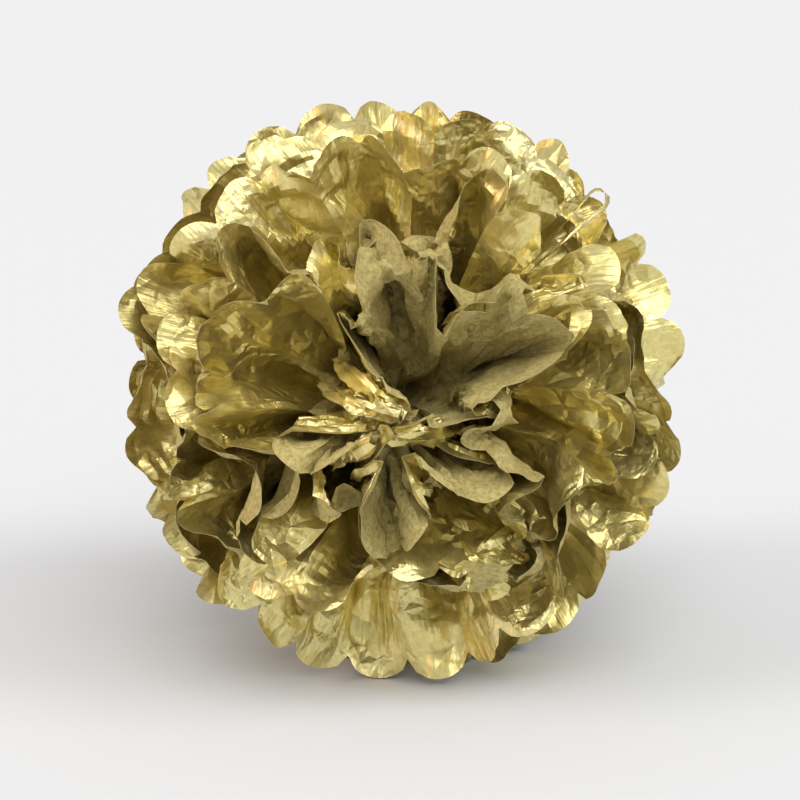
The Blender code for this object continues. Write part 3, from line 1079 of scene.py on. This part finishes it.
def add_ribbon():
    finish = ribbon_foil()
    line = ribbon_line()
    loop = band_mesh("ribbon_loop_band", line, RIBBON_WIDTH, RIBBON_THICKNESS, RIBBON_TURNS)
    knot = band_mesh("ribbon_knot_band", knot_line(), KNOT_WIDTH, KNOT_THICKNESS, 1, closed=True)
    for piece, replaced in ((loop, "ribbon_loop"), (knot, "ribbon_knot")):
        piece.data.materials.append(finish)
        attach(piece, "root")
        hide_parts(replaced)


def finish_wire():
    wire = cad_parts["wire_tie"]
    wire.data.materials.clear()
    wire.data.materials.append(drawn_wire())
    wire.data.polygons.foreach_set("use_smooth", np.ones(len(wire.data.polygons), bool))


# The studio


def towards(azimuth_deg, elevation_deg):
    """The direction to a place round the object: azimuth 0 is the camera's side and 90 is the right."""
    azimuth = math.radians(azimuth_deg)
    elevation = math.radians(elevation_deg)
    level = math.cos(elevation)
    return Vector((math.sin(azimuth) * level, -math.cos(azimuth) * level, math.sin(elevation)))


def add_camera(aim, elevation_deg, distance, lens):
    data = bpy.data.cameras.new("camera")
    data.lens = lens
    data.sensor_width = 36
    camera = linked("camera", data)
    out = towards(0, elevation_deg)
    camera.location = Vector(aim) + out * distance
    camera.rotation_euler = (-out).to_track_quat("-Z", "Y").to_euler()
    bpy.context.scene.camera = camera


def add_light(name, azimuth_deg, elevation_deg, strength, width_deg, colour=(1.0, 1.0, 1.0)):
    """A far soft light that looks that many degrees wide from the object."""
    data = bpy.data.lights.new(name, "SUN")
    data.energy = strength
    data.angle = math.radians(width_deg)
    data.color = colour
    light = linked(name, data)
    light.rotation_euler = (-towards(azimuth_deg, elevation_deg)).to_track_quat("-Z", "Y").to_euler()


def add_surroundings(front_colour, back_colour, strength):
    """Plain surroundings, a little darker on the camera's side than behind and above."""
    world = bpy.data.worlds.new("studio")
    bpy.context.scene.world = world
    world.use_nodes = True
    tree = world.node_tree
    direction = node(tree, "TexCoord").outputs["Generated"]
    depth = node(tree, "SeparateXYZ", {0: direction}).outputs[1]
    share = ramped(tree, depth, -0.9, 0.1, 0.0, 1.0)
    background = tree.nodes["Background"].inputs
    tree.links.new(mixed(tree, share, front_colour, back_colour), background["Color"])
    background["Strength"].default_value = strength


def add_floor(half_size, shade):
    data = bpy.data.meshes.new("floor")
    corners = [(x * half_size, y * half_size, 0) for x, y in ((-1, -1), (1, -1), (1, 1), (-1, 1))]
    data.from_pydata(corners, [], [(0, 1, 2, 3)])
    finish, _, inputs = new_material("floor_paper", Roughness=0.9)
    inputs["Base Color"].default_value = (*shade, 1.0)
    data.materials.append(finish)
    linked("floor", data)


add_camera(aim=(0.0, 0.0, 0.1085), elevation_deg=12, distance=1.0, lens=106.5)
add_ribbon()
finish_wire()
add_sheets()
add_light("overhead", -30, 64, 0.20, 46)
add_light("front_box", 10, 48, 1.40, 46)
add_light("left_box", -66, 34, 0.80, 26)
add_light("right_box", 66, 40, 1.05, 30)
add_light("low_left_glow", -84, 6, 1.00, 50, (1.0, 0.56, 0.46))
add_surroundings((0.90, 0.90, 0.89), (1.0, 1.0, 1.0), 0.50)
add_floor(30.0, (0.695, 0.705, 0.715))
bpy.context.scene.view_settings.view_transform = "Standard"
